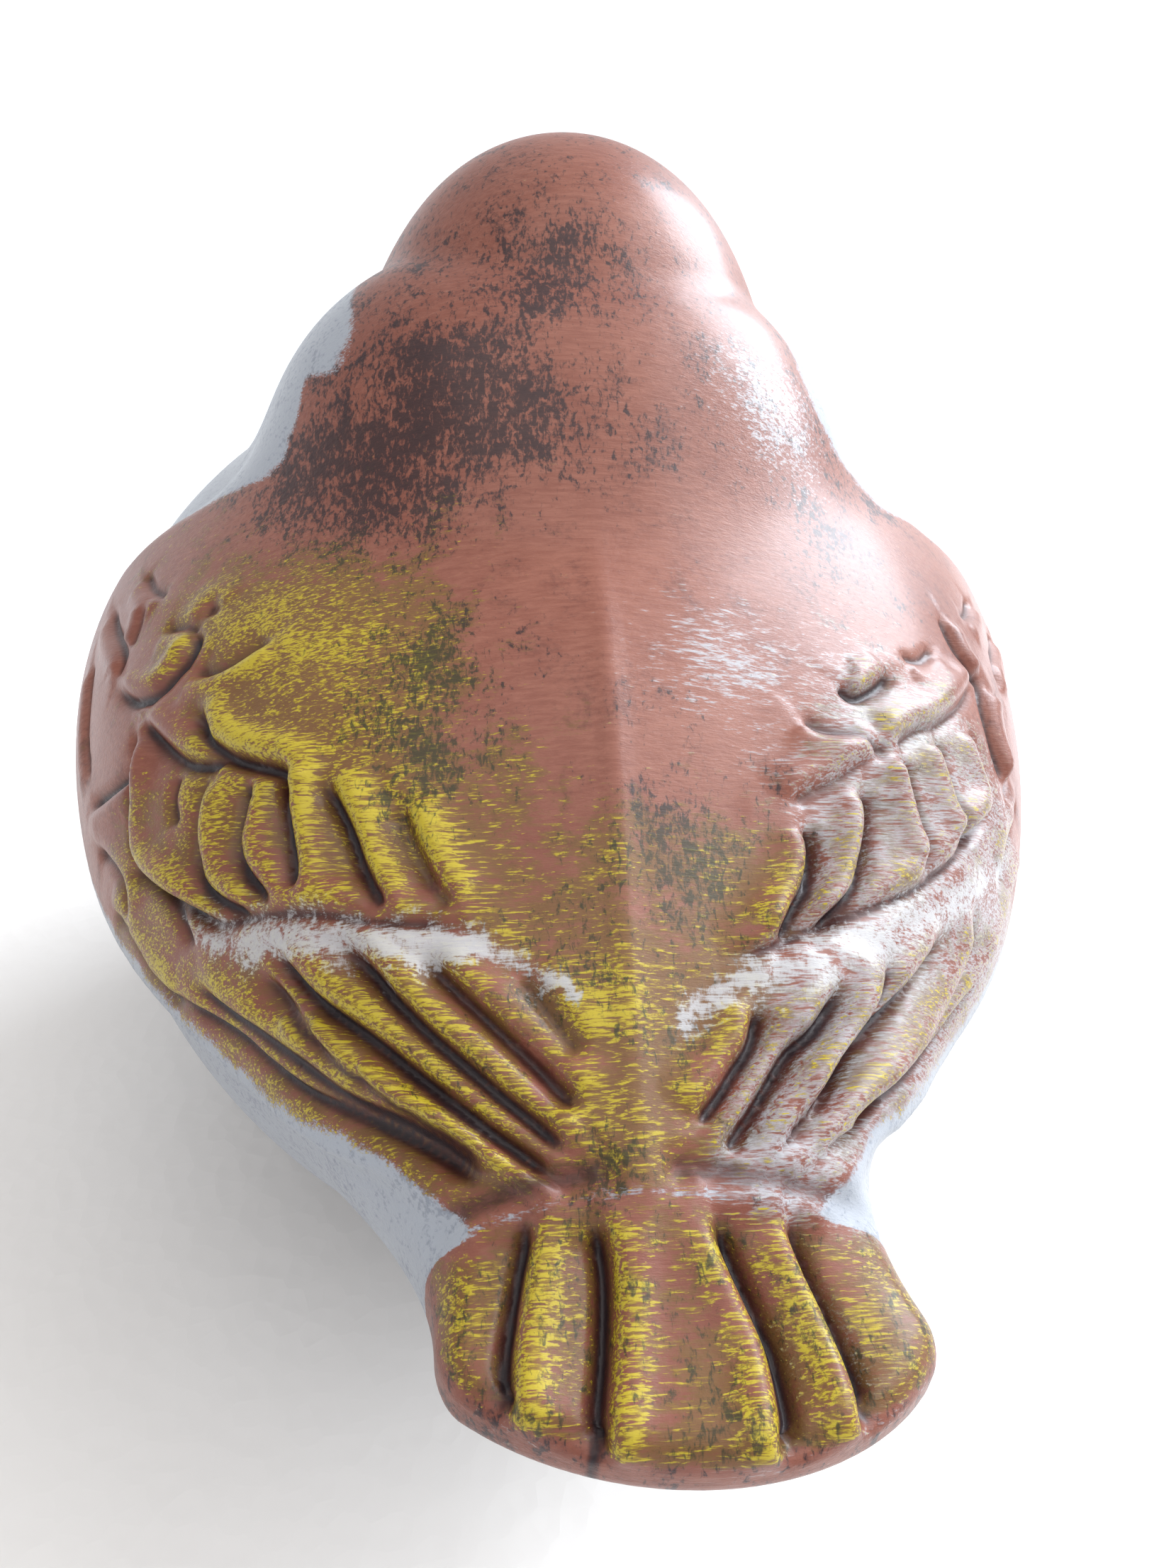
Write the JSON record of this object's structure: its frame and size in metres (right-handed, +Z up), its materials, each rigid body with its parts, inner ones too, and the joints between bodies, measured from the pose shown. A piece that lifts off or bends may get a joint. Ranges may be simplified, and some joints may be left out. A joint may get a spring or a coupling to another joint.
{
  "type": "bird garden figurine",
  "caption": "Plump sitting sparrow garden figurine in painted ceramic, with carved wing and tail feathers and a short beak, resting on its flat belly",
  "frame": {"origin": "centre of the bounding box at the level of the flat foot", "axes": "+Z up, the bird faces -Y with its tail toward +Y, its left wing is toward +X"},
  "size_m": [0.1738, 0.2302, 0.18],
  "materials": {
    "painted_ceramic": "dry-brushed brown and ochre paint under satin varnish"
  },
  "bodies": {
    "root": {"sparrow": "painted_ceramic"}
  },
  "joints": []
}
